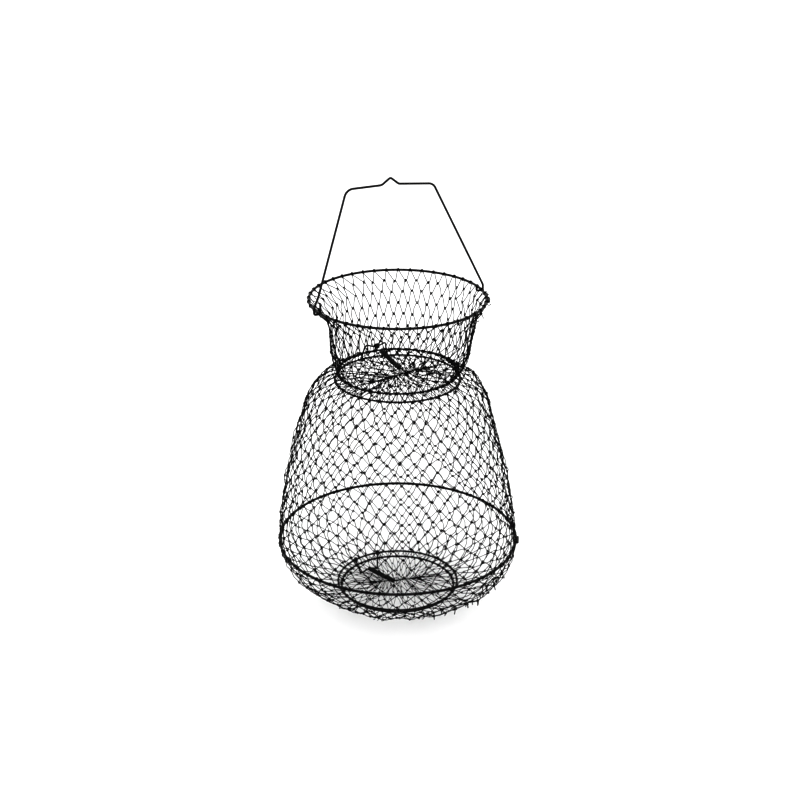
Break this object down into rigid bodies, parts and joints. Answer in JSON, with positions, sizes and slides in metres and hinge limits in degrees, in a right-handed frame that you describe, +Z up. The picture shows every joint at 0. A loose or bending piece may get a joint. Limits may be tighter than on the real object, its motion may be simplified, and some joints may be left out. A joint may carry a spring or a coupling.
{
  "type": "folding crab trap",
  "caption": "Collapsible hanging wire-mesh trap: flared collar, waisted netting body on wire hoops, spring-closed doors in neck and base, notched wire bail.",
  "frame": {"origin": "on the trap's axis at its lowest wire, the crossbar of the bottom door bracket (bounding box bottom centre)", "axes": "+Z up the trap's axis to the bail, +X to the right, through the bail's right hook, +Y towards the door brackets"},
  "size_m": [0.3334, 0.3334, 0.6092],
  "materials": {
    "bail_wire": "black enamel, glossy",
    "hoop_wire": "black enamel, glossy",
    "bracket_wire": "black enamel",
    "netting": "knotted black enamelled wire",
    "net_eye": "black enamelled wire",
    "spring_steel": "blackened spring steel"
  },
  "bodies": {
    "rim": {"top_ring": "hoop_wire", "top_ring_eyes": "net_eye", "collar_netting": "netting"},
    "handle": {"handle": "bail_wire"},
    "neck": {"neck_ring": "hoop_wire", "neck_ring_eyes": "net_eye", "top_door_bracket": "bracket_wire", "body_netting_upper": "netting"},
    "top_door": {"top_door_ring": "hoop_wire", "top_door_ring_eyes": "net_eye", "top_door_netting": "netting", "top_door_tie": "net_eye"},
    "top_spring": {"top_door_spring": "spring_steel"},
    "top_spring_end": {"top_spring_hook": "spring_steel"},
    "mid": {"mid_ring": "hoop_wire", "mid_ring_eyes": "net_eye", "body_netting_lower": "netting"},
    "bottom": {"bottom_ring": "hoop_wire", "bottom_ring_eyes": "net_eye", "bottom_door_bracket": "bracket_wire"},
    "bottom_door": {"bottom_door_ring": "hoop_wire", "bottom_door_ring_eyes": "net_eye", "bottom_door_netting": "netting", "bottom_door_tie": "net_eye"},
    "bottom_spring": {"bottom_door_spring": "spring_steel"},
    "bottom_spring_end": {"bottom_spring_hook": "spring_steel"}
  },
  "joints": [
    {"name": "handle_hinge", "type": "hinge", "parent": "rim", "child": "handle", "pos_m": [0.00059, -0.00829, 0.44105], "axis": [0.9975, 0.0713, 0], "range_deg": [-48, 48]},
    {"name": "neck_slide", "type": "slide", "parent": "rim", "child": "neck", "axis": [0, 0, 1], "range_m": [0, 0.08], "deforming": ["collar_netting"]},
    {"name": "mid_slide", "type": "slide", "parent": "neck", "child": "mid", "axis": [0, 0, 1], "range_m": [0, 0.23], "deforming": ["body_netting_upper"]},
    {"name": "bottom_slide", "type": "slide", "parent": "mid", "child": "bottom", "axis": [0, 0, 1], "range_m": [0, 0.067], "deforming": ["body_netting_lower"]},
    {"name": "top_door_hinge", "type": "hinge", "parent": "neck", "child": "top_door", "pos_m": [-0.00456, 0.0815, 0.3312], "axis": [-0.9984, -0.0558, 0], "range_deg": [-66, 0], "stiffness_Nm_per_rad": 0.12, "springref_deg": 57.3},
    {"name": "top_spring_swing", "type": "hinge", "parent": "neck", "child": "top_spring", "pos_m": [-0.00421, 0.07528, 0.3496], "axis": [-0.9984, -0.0558, 0], "range_deg": [-60.54, 0]},
    {"name": "top_spring_stretch", "type": "slide", "parent": "top_spring", "child": "top_spring_end", "axis": [0.1958, -0.9648, -0.1753], "range_m": [0, 0.01974], "deforming": ["top_door_spring"]},
    {"name": "bottom_door_hinge", "type": "hinge", "parent": "bottom", "child": "bottom_door", "pos_m": [-0.01897, 0.07961, 0.0226], "axis": [0.9728, 0.2317, 0], "range_deg": [-66, 0], "stiffness_Nm_per_rad": 0.06, "springref_deg": 57.3},
    {"name": "bottom_spring_swing", "type": "hinge", "parent": "bottom", "child": "bottom_spring", "pos_m": [-0.01733, 0.07276, 0.0052], "axis": [0.9728, 0.2317, 0], "range_deg": [-61.84, 0]},
    {"name": "bottom_spring_stretch", "type": "slide", "parent": "bottom_spring", "child": "bottom_spring_end", "axis": [0.2287, -0.96, 0.1617], "range_m": [0, 0.01965], "deforming": ["bottom_door_spring"]}
  ],
  "couplings": [
    {"joint": "top_spring_swing", "follows": "top_door_hinge", "ratio": 0.9128},
    {"joint": "top_spring_stretch", "follows": "top_door_hinge", "m_per_rad": -0.016965},
    {"joint": "bottom_spring_swing", "follows": "bottom_door_hinge", "ratio": 0.9324},
    {"joint": "bottom_spring_stretch", "follows": "bottom_door_hinge", "m_per_rad": -0.016886}
  ]
}
